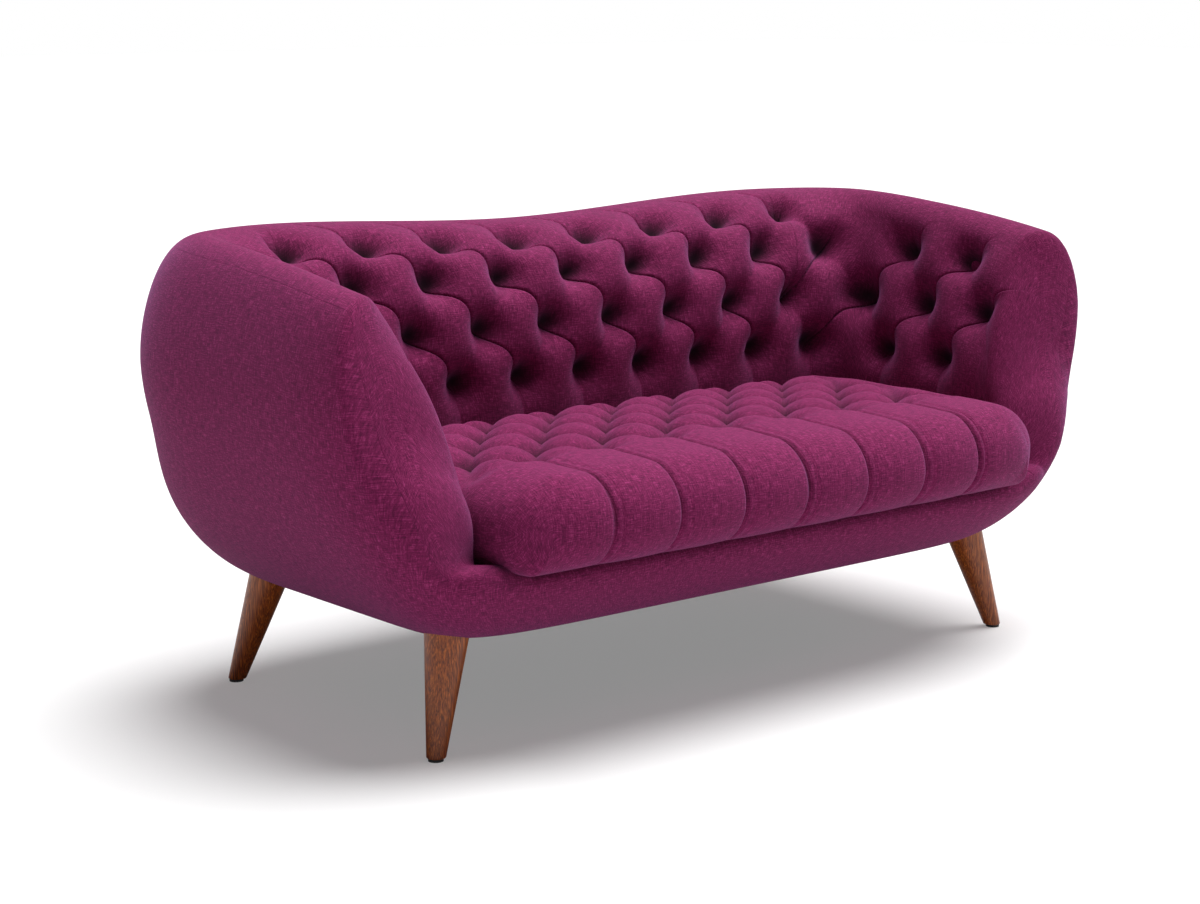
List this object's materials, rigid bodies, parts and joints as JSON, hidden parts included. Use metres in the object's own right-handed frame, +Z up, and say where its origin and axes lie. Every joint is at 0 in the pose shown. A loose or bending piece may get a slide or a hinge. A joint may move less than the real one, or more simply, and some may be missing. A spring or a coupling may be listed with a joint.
{
  "type": "tufted sofa",
  "caption": "Compact curved tub sofa with a button-tufted inside back and arms, a tufted seat cushion and splayed tapered wooden legs.",
  "frame": {"origin": "centre of the footprint on the floor, level with the undersides of the four feet", "axes": "+X to the right as seen by someone facing the sofa's front, along its width; +Y to the back; +Z up"},
  "size_m": [1.569, 0.9, 0.7298],
  "materials": {
    "woven_magenta_wool": "matte woven",
    "oiled_walnut": "oiled",
    "sawn_beech": "sawn",
    "birch_plywood": "sanded",
    "hardboard": "smooth",
    "polyurethane_foam": "open cell foam",
    "grey_felt": "pressed felt on board",
    "black_lining_cloth": "non-woven",
    "black_spring_steel": "black oxide",
    "zinc_plated_steel": "zinc plated",
    "black_nylon": "matte"
  },
  "bodies": {
    "sofa": {"outer_cover": "woven_magenta_wool", "inside_back_pad": "woven_magenta_wool", "inside_left_arm_pad": "woven_magenta_wool", "inside_right_arm_pad": "woven_magenta_wool", "front_lip_pad": "woven_magenta_wool", "back_left_leg": "oiled_walnut", "back_right_leg": "oiled_walnut", "front_left_leg": "oiled_walnut", "front_right_leg": "oiled_walnut", "front_rail": "sawn_beech", "back_rail": "sawn_beech", "centre_rail": "sawn_beech", "left_side_rail": "sawn_beech", "right_side_rail": "sawn_beech", "lip_rail": "sawn_beech", "back_left_leg_block": "sawn_beech", "back_right_leg_block": "sawn_beech", "front_left_leg_block": "sawn_beech", "front_right_leg_block": "sawn_beech", "back_rib_1": "birch_plywood", "back_rib_2": "birch_plywood", "back_rib_3": "birch_plywood", "back_rib_4": "birch_plywood", "left_arm_front_rib": "birch_plywood", "left_arm_rear_rib": "birch_plywood", "right_arm_front_rib": "birch_plywood", "right_arm_rear_rib": "birch_plywood", "lip_rib_left": "birch_plywood", "lip_rib_middle": "birch_plywood", "lip_rib_right": "birch_plywood", "back_top_rail": "birch_plywood", "left_arm_top_rail": "birch_plywood", "right_arm_top_rail": "birch_plywood", "back_lining": "hardboard", "left_arm_lining": "hardboard", "right_arm_lining": "hardboard", "back_rim_foam": "polyurethane_foam", "seat_deck": "grey_felt", "dust_cover": "black_lining_cloth", "zigzag_spring_1": "black_spring_steel", "zigzag_spring_2": "black_spring_steel", "zigzag_spring_3": "black_spring_steel", "zigzag_spring_4": "black_spring_steel", "zigzag_spring_5": "black_spring_steel", "zigzag_spring_6": "black_spring_steel", "front_spring_strip": "zinc_plated_steel", "rear_spring_strip": "zinc_plated_steel", "back_left_leg_plate": "zinc_plated_steel", "back_right_leg_plate": "zinc_plated_steel", "front_left_leg_plate": "zinc_plated_steel", "front_right_leg_plate": "zinc_plated_steel", "back_left_leg_bolt": "zinc_plated_steel", "back_right_leg_bolt": "zinc_plated_steel", "front_left_leg_bolt": "zinc_plated_steel", "front_right_leg_bolt": "zinc_plated_steel", "back_left_glide": "black_nylon", "back_right_glide": "black_nylon", "front_left_glide": "black_nylon", "front_right_glide": "black_nylon"},
    "cushion": {"seat_cushion": "woven_magenta_wool"}
  },
  "joints": [
    {"name": "cushion_lift", "type": "slide", "parent": "sofa", "child": "cushion", "axis": [0, 0, 1], "range_m": [0, 0.45]}
  ]
}
